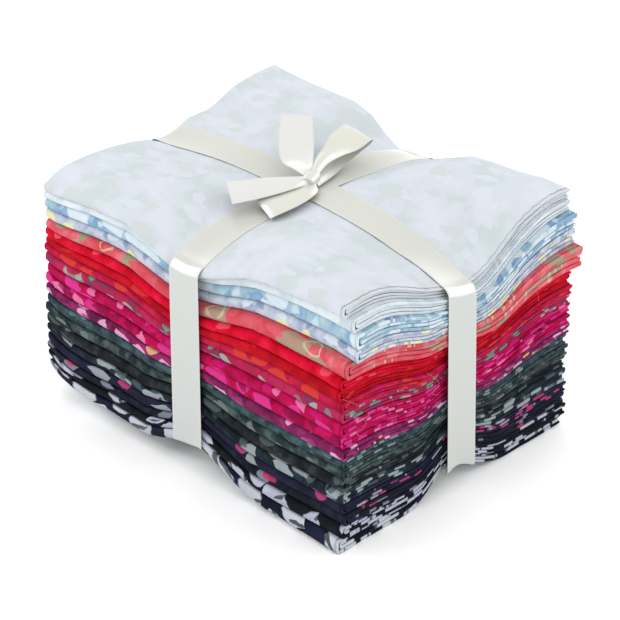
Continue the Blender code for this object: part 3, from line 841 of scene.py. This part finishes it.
def make_band(name, middle, reach, drift, placed, middle_gap, crossing_gap):
    """One strand right round the stack, as a closed strip.

    It walks along the top, down the far side, back underneath and up the near side. Placed turns (along,
    across) into (x, y). Drift is how far it moves sideways on its way down, at the near and the far side.
    """
    across = np.linspace(-RIBBON_WIDTH / 2, RIBBON_WIDTH / 2, RIBBON_ACROSS + 1)
    upper_edge = reach - RIBBON_TURN
    lower_edge = reach - RIBBON_LOWER_TURN
    rows = []

    def gap(a):
        """Distance from the cloth: least along the edges, most where this strand crosses over the other."""
        beside = middle_gap + (STRAND_EDGE_GAP - middle_gap) * (2 * across / RIBBON_WIDTH) ** EDGE_GAP_POWER
        crossing = np.clip(CROSSING_STRENGTH * bump(a - CROSSING_PLACE, CROSSING_REACH, CROSSING_REACH), 0, 1)
        return beside + np.maximum(0.0, crossing_gap - beside) * crossing

    def top_z(a, side):
        return top_surface(*placed(a, side)) + gap(a)

    def bottom_z(a, side):
        return bottom_surface(*placed(a, side)) - gap(a)

    def add(a, side, z):
        x, y = placed(a, side)
        rows.append(np.stack(np.broadcast_arrays(x, y, z), axis=1))

    def turn(sign, side, z, radius, upper):
        """A quarter turn of the ribbon round the stack's upper or lower edge."""
        for n in range(1, RIBBON_TURN_STEPS):
            angle = math.pi / 2 * n / RIBBON_TURN_STEPS
            angle = math.pi / 2 - angle if (sign > 0) == upper else angle
            a = sign * (reach - radius + radius * math.cos(angle))
            add(a, side, z + (-1.0 if upper else 1.0) * radius * (1.0 - math.sin(angle)))

    for a in np.linspace(-upper_edge, upper_edge, TOP_STEPS + 1):
        side = smooth_line(middle, a) + across
        add(a, side, top_z(a, side))
    for sign in (1.0, -1.0):
        side = smooth_line(middle, sign * upper_edge) + across
        low_side = side + drift[0 if sign < 0 else 1]
        high = top_z(sign * upper_edge, side)
        low = bottom_z(sign * lower_edge, low_side)
        down = []
        for n in range(SIDE_STEPS + 1):
            t = n / SIDE_STEPS
            height = (high - RIBBON_TURN) * (1 - t) + (low + RIBBON_LOWER_TURN) * t
            down.append((side + (low_side - side) * t, height))
        if sign > 0:
            turn(sign, side, high, RIBBON_TURN, True)
            for s, z in down:
                add(sign * reach, s, z)
            turn(sign, low_side, low, RIBBON_LOWER_TURN, False)
            for b in np.linspace(lower_edge, -lower_edge, TOP_STEPS + 1):
                blend = (b + lower_edge) / (2 * lower_edge)
                s = smooth_line(middle, b) + across + drift[0] * (1 - blend) + drift[1] * blend
                add(b, s, bottom_z(b, s))
        else:
            turn(sign, low_side, low, RIBBON_LOWER_TURN, False)
            for s, z in down[::-1]:
                add(sign * reach, s, z)
            turn(sign, side, high, RIBBON_TURN, True)
    return make_strip(name, np.array(rows), RIBBON_THICKNESS, True)


def smooth_rail(points, steps):
    """A smooth curve through points, evenly spaced along its length."""
    points = np.array(points, dtype=float)
    padded = np.concatenate([[2 * points[0] - points[1]], points, [2 * points[-1] - points[-2]]])
    curve = []
    for n in range(len(points) - 1):
        p0, p1, p2, p3 = padded[n:n + 4]
        for t in np.linspace(0, 1, RAIL_STEPS, endpoint=False):
            curve.append(0.5 * (2 * p1 + (p2 - p0) * t + (2 * p0 - 5 * p1 + 4 * p2 - p3) * t * t
                                + (3 * p1 - p0 - 3 * p2 + p3) * t ** 3))
    curve.append(points[-1])
    curve = np.array(curve)
    lengths = path_lengths(curve)
    wanted = np.linspace(0, lengths[-1], steps + 1)
    return np.stack([np.interp(wanted, lengths, curve[:, n]) for n in range(3)], axis=1)


def make_bow_strand(rails):
    """A bow strand between its two edges, gathered into soft pleats beside the knot."""
    first = smooth_rail(rails.first, BOW_STEPS)
    second = smooth_rail(rails.second, BOW_STEPS)
    c = np.linspace(0, 1, BOW_ACROSS + 1)
    grid = first[:, None, :] * (1 - c)[None, :, None] + second[:, None, :] * c[None, :, None]
    s = np.linspace(0, 1, BOW_STEPS + 1)
    near_knot = np.clip(1.0 - s / PLEAT_SHARE, 0.0, 1.0)
    if rails.name.startswith("ribbon_loop"):
        near_knot = np.maximum(near_knot, np.clip(1.0 - (1.0 - s) / PLEAT_SHARE, 0.0, 1.0))
    pleats = PLEAT_DEPTH * np.cos(2 * math.pi * PLEAT_COUNT * c)[None, :] * (near_knot ** PLEAT_FADE)[:, None]
    crown = BOW_CROWN * (1 - (2 * c - 1) ** 2)[None, :]
    grid[:, :, 2] += pleats + crown
    return make_strip(rails.name, grid, BOW_THICKNESS, False)


def make_knot():
    """The turn of ribbon round the middle of the bow, with a soft crease along it."""
    around, along = KNOT_STEPS
    points = []
    uvs = []
    for j in range(along + 1):
        v = j / along
        y = (v - 0.5) * KNOT_SIZE[1]
        swell = 1.0 - KNOT_SWELL + KNOT_SWELL * math.sin(math.pi * v)
        for n in range(around):
            angle = 2 * math.pi * n / around
            c, s = math.cos(angle), math.sin(angle)
            x = KNOT_SIZE[0] / 2 * swell * math.copysign(abs(c) ** KNOT_SQUARENESS, c)
            z = KNOT_SIZE[2] / 2 * swell * math.copysign(abs(s) ** KNOT_SQUARENESS, s)
            from_crease = (v - CREASE_PLACE - CREASE_WANDER * math.sin(angle)) / CREASE_WIDTH
            drawn = 1.0 - CREASE_DEPTH * math.exp(-from_crease ** 2)
            points.append((x * drawn, y, z * drawn))
            uvs.append((n / around * KNOT_GIRTH * MM, v * RIBBON_WIDTH * MM))
    turn = Matrix.Rotation(math.radians(KNOT_TURN), 3, "Z")
    placed = [tuple(c * MM for c in (turn @ Vector(p) + Vector(KNOT_PLACE))) for p in points]
    return build_mesh("ribbon_knot_wrap", np.array(placed), tube_faces(along + 1, around), np.array(uvs),
                      ROUND_SHARP_ANGLE)


def tube_faces(rings, around):
    """Faces of a closed tube through rings of points, with a face at either end."""
    faces = []
    for j in range(rings - 1):
        near, far = j * around, (j + 1) * around
        for n in range(around):
            m = (n + 1) % around
            faces.append((near + n, near + m, far + m, far + n))
    return faces + end_faces(rings, around)


def make_thread(thread):
    """A loose thread of cotton as a thin round tube."""
    curve = smooth_rail(thread.points, THREAD_STEPS)
    ahead = np.gradient(curve, axis=0)
    ahead /= np.linalg.norm(ahead, axis=1)[:, None]
    side = np.cross(ahead, (1.0, 0.0, 0.0))
    side /= np.linalg.norm(side, axis=1)[:, None]
    other = np.cross(ahead, side)
    angles = np.arange(THREAD_SIDES) * 2 * math.pi / THREAD_SIDES
    rings = (curve[:, None, :] + THREAD_RADIUS * (side[:, None, :] * np.cos(angles)[None, :, None]
                                                  + other[:, None, :] * np.sin(angles)[None, :, None]))
    lengths = path_lengths(curve) * MM
    around = angles * THREAD_RADIUS * MM
    uv = grid_pairs(lengths[:, None], around[None, :])
    faces = tube_faces(len(curve), THREAD_SIDES)
    return build_mesh(thread.name, rings.reshape(-1, 3) * MM, faces, uv, ROUND_SHARP_ANGLE)


def set_inputs(tree, node, inputs):
    """Set or link a node's inputs, given as (name or index, value or socket)."""
    for key, value in inputs:
        if isinstance(value, bpy.types.NodeSocket):
            tree.links.new(value, node.inputs[key])
        else:
            node.inputs[key].default_value = value


def new_node(tree, kind, inputs=(), **settings):
    """Add a shader node, set its properties, and set or link its inputs."""
    node = tree.nodes.new("ShaderNode" + kind)
    for name, value in settings.items():
        setattr(node, name, value)
    set_inputs(tree, node, inputs)
    return node


def math_node(tree, operation, *values, clamp=False):
    """The result of a Math node."""
    return new_node(tree, "Math", enumerate(values), operation=operation, use_clamp=clamp).outputs[0]


def vector_node(tree, operation, first, second):
    """The result of a Vector Math node. Scale takes a number or a socket as its second value."""
    key = "Scale" if operation == "SCALE" else 1
    return new_node(tree, "VectorMath", ((0, first), (key, second)), operation=operation).outputs[0]


def noise_node(tree, place, scale, detail, roughness=0.5):
    """A flat noise texture."""
    inputs = (("Vector", place), ("Scale", scale), ("Detail", detail), ("Roughness", roughness))
    return new_node(tree, "TexNoise", inputs, noise_dimensions="2D").outputs


def ramp_node(tree, factor, positions, colours):
    """A smooth colour ramp."""
    node = new_node(tree, "ValToRGB", ((0, factor),))
    node.color_ramp.interpolation = "EASE"
    stops = node.color_ramp.elements
    stops[0].position, stops[1].position = positions[0], positions[-1]
    stops[0].color, stops[1].color = colours[0], colours[-1]
    for position, colour in zip(positions[1:-1], colours[1:-1]):
        stops.new(position).color = colour
    return node.outputs[0]


def mix_colours(tree, factor, first, second):
    """Blend two colours."""
    node = new_node(tree, "Mix", ((0, factor), (6, first), (7, second)), data_type="RGBA")
    return node.outputs[2]


def threads_node(tree, place, spacing, distortion, direction):
    """Fine threads side by side, from 0 between them to 1 along their middles."""
    scale = WAVE_LENGTH / spacing
    inputs = (("Vector", place), ("Scale", scale), ("Distortion", distortion), ("Detail", 1.0))
    return new_node(tree, "TexWave", inputs, bands_direction=direction).outputs["Fac"]


def bump_node(tree, height, strength, distance, *normal):
    """A bumpy normal, over another one if that is given."""
    inputs = (("Height", height), ("Strength", strength), ("Distance", distance * MM))
    return new_node(tree, "Bump", inputs + tuple(("Normal", one) for one in normal)).outputs[0]


def ramp_up(tree, value, start, end):
    """From 0 at the start to 1 at the end, and clamped beyond."""
    return new_node(tree, "MapRange", ((0, value), (1, start), (2, end)), clamp=True).outputs[0]


def new_material(name):
    """A material, with its node tree and its shader."""
    material = bpy.data.materials.new(name)
    material.use_nodes = True
    return material, material.node_tree, material.node_tree.nodes["Principled BSDF"]


def cloth_place(tree):
    """The place on the cloth in millimetres, from its UV map."""
    uv = new_node(tree, "UVMap", uv_map=UV_NAME).outputs[0]
    return vector_node(tree, "SCALE", uv, 1.0 / MM)


def make_shape_group():
    """Node group: scattered leaf-like shapes, each turned its own way, from a place in millimetres."""
    tree = bpy.data.node_groups.new("scattered_shapes", "ShaderNodeTree")
    tree.interface.new_socket(name="Place", in_out="INPUT", socket_type="NodeSocketVector")
    for name in SHAPE_INPUTS:
        tree.interface.new_socket(name=name, in_out="INPUT", socket_type="NodeSocketFloat")
    tree.interface.new_socket(name="Mask", in_out="OUTPUT", socket_type="NodeSocketFloat")
    given = tree.nodes.new("NodeGroupInput").outputs
    squeezed = vector_node(tree, "MULTIPLY", given["Place"], (1.0 / SHAPE_STRETCH, 1.0, 1.0))
    scaled = vector_node(tree, "SCALE", squeezed, math_node(tree, "DIVIDE", 1.0, given["Spacing"]))
    noise = noise_node(tree, scaled, SHAPE_WOBBLE_SCALE, 2.0)["Color"]
    centred = vector_node(tree, "SUBTRACT", noise, (0.5, 0.5, 0.5))
    place = vector_node(tree, "ADD", scaled, vector_node(tree, "SCALE", centred, SHAPE_WOBBLE))
    cells = new_node(tree, "TexVoronoi", (("Vector", place), ("Scale", 1.0), ("Randomness", SHAPE_SCATTER)),
                     voronoi_dimensions="2D", feature="F1").outputs
    local = vector_node(tree, "SUBTRACT", place, cells["Position"])
    chance = new_node(tree, "SeparateColor", ((0, cells["Color"]),)).outputs
    angle = math_node(tree, "MULTIPLY", chance[0], 2 * math.pi)
    turned = new_node(tree, "VectorRotate", (("Vector", local), ("Angle", angle)),
                      rotation_type="Z_AXIS").outputs[0]
    parts = new_node(tree, "SeparateXYZ", ((0, turned),)).outputs
    size = math_node(tree, "MULTIPLY_ADD", chance[2], SHAPE_SIZE_RANGE, SHAPE_LEAST_SIZE)
    along = math_node(tree, "DIVIDE", parts[0], math_node(tree, "MULTIPLY", given["Length"], size))
    across = math_node(tree, "DIVIDE", parts[1], math_node(tree, "MULTIPLY", given["Width"], size))
    squared = math_node(tree, "POWER", along, 2.0)
    bent = math_node(tree, "ADD", across, math_node(tree, "MULTIPLY", squared, SHAPE_BEND))
    reach = math_node(tree, "ADD", squared, math_node(tree, "ABSOLUTE", bent))
    inside = ramp_up(tree, reach, 1.0 + SHAPE_SOFTNESS, 1.0 - SHAPE_SOFTNESS)
    hole = math_node(tree, "LESS_THAN", reach, given["Hollow"])
    chosen = math_node(tree, "LESS_THAN", chance[1], given["Density"])
    mask = math_node(tree, "MULTIPLY", math_node(tree, "SUBTRACT", inside, hole, clamp=True), chosen)
    ends = tree.nodes.new("NodeGroupOutput")
    tree.links.new(mask, ends.inputs["Mask"])
    return tree


def cotton_bump(tree, place):
    """Soft wrinkles with the weave's threads over them."""
    wrinkles = noise_node(tree, place, 1.0 / WRINKLE_SIZE, 3.0)["Fac"]
    soft = bump_node(tree, wrinkles, WRINKLE_BUMP, WRINKLE_HEIGHT)
    threads = [threads_node(tree, place, THREAD_SPACING, COTTON_DISTORTION, axis) for axis in ("X", "Y")]
    weave = math_node(tree, "MAXIMUM", *threads)
    return bump_node(tree, weave, THREAD_BUMP, THREAD_HEIGHT, soft)


def cotton_material(name, design, shape_group):
    """Printed cotton: a mottled ground with scattered shapes over it."""
    material, tree, shader = new_material(name)
    place = cloth_place(tree)
    broad = noise_node(tree, place, 1.0 / design.blotch, 3.0, BLOTCH_ROUGHNESS)["Fac"]
    middle, darker, lighter = [srgb(code) for code in design.ground]
    colour = ramp_node(tree, broad, BLOTCH_STOPS, (darker, middle, lighter))
    for n, shape in enumerate(design.shapes):
        shift = (SHAPE_SHIFT[0] * n + SHAPE_START, SHAPE_SHIFT[1] * n, 0.0)
        inputs = [("Place", vector_node(tree, "ADD", place, shift))]
        inputs += [(key, getattr(shape, key.lower())) for key in SHAPE_INPUTS]
        group = new_node(tree, "Group", inputs, node_tree=shape_group)
        tone = math_node(tree, "MULTIPLY", broad, SHAPE_SHADING)
        shade = mix_colours(tree, tone, srgb(shape.colour), colour)
        colour = mix_colours(tree, group.outputs[0], colour, shade)
    set_inputs(tree, shader, (("Base Color", colour), ("Normal", cotton_bump(tree, place)),
                              ("Roughness", COTTON_ROUGHNESS), ("Specular IOR Level", COTTON_SHINE)))
    return material


def satin_material(name, top, side):
    """Cream satin: painted highlight on bends, painted shade on upright sides, lighter firmer edges, fine
    threads.
    """
    material, tree, shader = new_material(name)
    place = cloth_place(tree)
    # Painted light by the way the surface faces: painted shade on the upright sides, a painted highlight on
    # the bends
    normal = new_node(tree, "NewGeometry").outputs["Normal"]
    upright = new_node(tree, "SeparateXYZ", ((0, normal),)).outputs[2]
    bends = [srgb(code) for code in (side, SATIN_BEND_HIGHLIGHT, SATIN_BEND_HIGHLIGHT, top)]
    colour = ramp_node(tree, upright, SATIN_STOPS, bends)
    across = new_node(tree, "SeparateXYZ", ((0, place),)).outputs[1]
    from_middle = math_node(tree, "ABSOLUTE", math_node(tree, "SUBTRACT", across, RIBBON_WIDTH / 2))
    border = ramp_up(tree, from_middle, RIBBON_WIDTH / 2 - SATIN_BORDER, RIBBON_WIDTH / 2)
    colour = mix_colours(tree, border, colour, srgb(SATIN_EDGE))
    threads = threads_node(tree, place, SATIN_THREAD_SPACING, SATIN_DISTORTION, "X")
    relief = bump_node(tree, threads, SATIN_BUMP, SATIN_THREAD_HEIGHT)
    set_inputs(tree, shader, (("Base Color", colour), ("Normal", relief), ("Roughness", SATIN_ROUGHNESS),
                              ("Specular IOR Level", SATIN_SHINE)))
    return material


def thread_material(name, colour):
    """Twisted cotton thread, lighter and darker along its twist."""
    material, tree, shader = new_material(name)
    inputs = (("Vector", cloth_place(tree)), ("Scale", TWIST_SCALE), ("Distortion", TWIST_DISTORTION))
    twist = new_node(tree, "TexWave", inputs, bands_direction="DIAGONAL").outputs["Fac"]
    light = srgb(colour)
    dark = tuple(c * THREAD_SHADE for c in light[:3]) + (1.0,)
    set_inputs(tree, shader, (("Base Color", mix_colours(tree, twist, dark, light)),
                              ("Roughness", COTTON_ROUGHNESS)))
    return material


def floor_material():
    """A plain pale floor."""
    material, tree, shader = new_material("floor_white")
    white = (FLOOR_WHITE, FLOOR_WHITE, FLOOR_WHITE, 1.0)
    set_inputs(tree, shader, (("Base Color", white), ("Roughness", 1.0), ("Specular IOR Level", 0.0)))
    return material


def add_camera():
    """The camera of the photo: a long lens above the near corner, turned a little clockwise."""
    azimuth, elevation = math.radians(AZIMUTH), math.radians(ELEVATION)
    back = Vector((math.sin(azimuth) * math.cos(elevation), -math.cos(azimuth) * math.cos(elevation),
                   math.sin(elevation)))
    right = Vector((math.cos(azimuth), math.sin(azimuth), 0.0))
    up = back.cross(right)
    roll = math.radians(ROLL)
    turned_right = right * math.cos(roll) + up * math.sin(roll)
    turned_up = up * math.cos(roll) - right * math.sin(roll)
    aim = Vector((0.0, 0.0, AIM_HEIGHT)) + turned_right * AIM_RIGHT + turned_up * AIM_UP
    place = (aim + back * DISTANCE) * MM
    axes = Matrix((turned_right, turned_up, back)).transposed().to_4x4()
    data = bpy.data.cameras.new("camera")
    data.sensor_width = SENSOR_WIDTH
    data.lens = SENSOR_WIDTH * PIXELS_PER_MM * DISTANCE / PICTURE_SIDE
    camera = add_object("camera", data)
    camera.matrix_world = Matrix.Translation(place) @ axes
    bpy.context.scene.camera = camera


def add_area_light(name, place, size, power):
    """A soft square light aimed at the middle of the bundle."""
    data = bpy.data.lights.new(name, "AREA")
    data.size = size
    data.energy = power
    light = add_object(name, data)
    light.location = place
    light.rotation_euler = (Vector(LAMP_AIM) - Vector(place)).to_track_quat("-Z", "Y").to_euler()


def add_surroundings():
    """White surroundings, a pale floor and soft light."""
    world = bpy.data.worlds.new("white_room")
    world.use_nodes = True
    background = world.node_tree.nodes["Background"]
    background.inputs["Color"].default_value = (1.0, 1.0, 1.0, 1.0)
    background.inputs["Strength"].default_value = SURROUNDINGS
    bpy.context.scene.world = world
    bpy.context.scene.view_settings.view_transform = "Standard"
    for name, place, size, power in LAMPS:
        add_area_light(name, place, size, power)
    mesh = bpy.data.meshes.new("floor")
    corners = [(FLOOR_REACH * u, FLOOR_REACH * v, 0.0) for u, v in ((-1, -1), (1, -1), (1, 1), (-1, 1))]
    mesh.from_pydata(corners, [], [(0, 1, 2, 3)])
    floor = add_object("floor", mesh)
    mesh.materials.append(floor_material())


def main():
    """Put up the scene, then build each fabric, the ribbon and the loose threads in place of the solids."""
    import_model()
    add_camera()
    add_surroundings()
    shapes = make_shape_group()
    for number, design in enumerate(PRINTS):
        cloth = make_fabric(number)
        name = f"fabric_{number + 1:02d}"
        cloth.data.materials.append(cotton_material(name + "_print", design, shapes))
        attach(cloth, "root")
        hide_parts(name)
    # One satin in three copies with painted light: the strands shaded, the tails lit, the loops shaded and
    # warmer
    satin = satin_material("ribbon_strand_shaded_weave", SATIN_STRAND_SHADED, SATIN_SIDE_SHADE)
    tail_lit_satin = satin_material("ribbon_tail_lit_weave", BOW_TAIL_LIT, BOW_TAIL_LIT)
    loop_shaded_satin = satin_material("ribbon_loop_shaded_weave", BOW_LOOP_SHADED, BOW_LOOP_SHADED)
    parts = [
        make_band("ribbon_strand_long", TOP_LEFT_TO_RIGHT_LINE, STRAND_REACH_X, (0.0, RIGHT_SIDE_DRIFT),
                  lambda a, side: (a, side), LONG_STRAND_GAP, LONG_STRAND_GAP),
        make_band("ribbon_strand_short", TOP_FRONT_TO_BACK_LINE, STRAND_REACH_Y, (FRONT_SIDE_DRIFT, 0.0),
                  lambda a, side: (side, a), SHORT_STRAND_GAP, CROSSING_GAP),
        make_knot(),
    ]
    parts += [make_bow_strand(rails) for rails in BOW]
    weaves = (satin, satin, loop_shaded_satin, tail_lit_satin, tail_lit_satin, loop_shaded_satin, loop_shaded_satin)
    for part, weave in zip(parts, weaves):
        part.data.materials.append(weave)
        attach(part, "root")
    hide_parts("ribbon")
    for thread in THREADS:
        piece = make_thread(thread)
        piece.data.materials.append(thread_material(thread.name + "_cotton", thread.colour))
        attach(piece, "root")


main()
